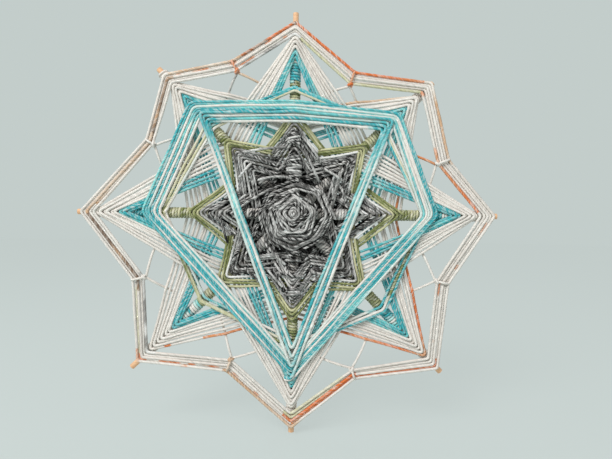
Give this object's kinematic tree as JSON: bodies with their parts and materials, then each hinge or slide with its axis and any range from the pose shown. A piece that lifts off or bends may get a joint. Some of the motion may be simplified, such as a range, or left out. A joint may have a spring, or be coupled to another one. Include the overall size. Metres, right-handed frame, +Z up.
{
  "type": "ojo de dios",
  "caption": "Flat eight-armed wall ornament: crossed wooden dowels wound with wool into a star, a tied ring, squares, a pentagon and a triangle.",
  "frame": {"origin": "where the vertical and horizontal dowels cross, on their centre lines", "axes": "+Z up along the vertical dowel, +X to the right as the front is seen, -Y out of the front, +Y towards the wall"},
  "size_m": [0.3, 0.0233, 0.3],
  "materials": {
    "dowel_wood": "bare sanded wood",
    "white_wool": "matte spun wool",
    "white_orange_wool": "matte spun wool, white with orange and tan flecks",
    "turquoise_wool": "matte spun wool, turquoise fading to white",
    "green_wool": "matte spun wool, olive green and cream",
    "gray_wool": "matte spun wool, gray marl",
    "orange_wool": "matte spun wool"
  },
  "bodies": {
    "root": {"dowel_vertical": "dowel_wood", "dowel_horizontal": "dowel_wood", "dowel_rising": "dowel_wood", "dowel_falling": "dowel_wood", "outer_ring": "white_orange_wool", "star_cardinal_white": "white_wool", "star_cardinal_turquoise": "turquoise_wool", "star_diagonal_white": "white_wool", "star_diagonal_turquoise": "turquoise_wool", "arm_wrap_right": "green_wool", "arm_wrap_upper_right": "green_wool", "arm_wrap_top": "green_wool", "arm_wrap_upper_left": "green_wool", "arm_wrap_left": "green_wool", "arm_wrap_lower_left": "green_wool", "arm_wrap_bottom": "green_wool", "arm_wrap_lower_right": "green_wool", "octagon_strands": "turquoise_wool", "green_square_diagonal": "green_wool", "green_square_cardinal": "green_wool", "gray_square_diagonal": "gray_wool", "gray_square_cardinal": "gray_wool", "inner_square_diagonal": "gray_wool", "inner_square_cardinal": "gray_wool", "eye_rose": "gray_wool", "pentagon_band": "turquoise_wool", "triangle_band": "turquoise_wool", "valley_tie_right": "orange_wool", "valley_tie_upper_right": "white_wool", "valley_tie_top": "orange_wool", "valley_tie_upper_left": "white_wool", "valley_tie_left": "orange_wool", "valley_tie_lower_left": "white_wool", "valley_tie_bottom": "orange_wool", "valley_tie_lower_right": "white_wool"}
  },
  "joints": []
}
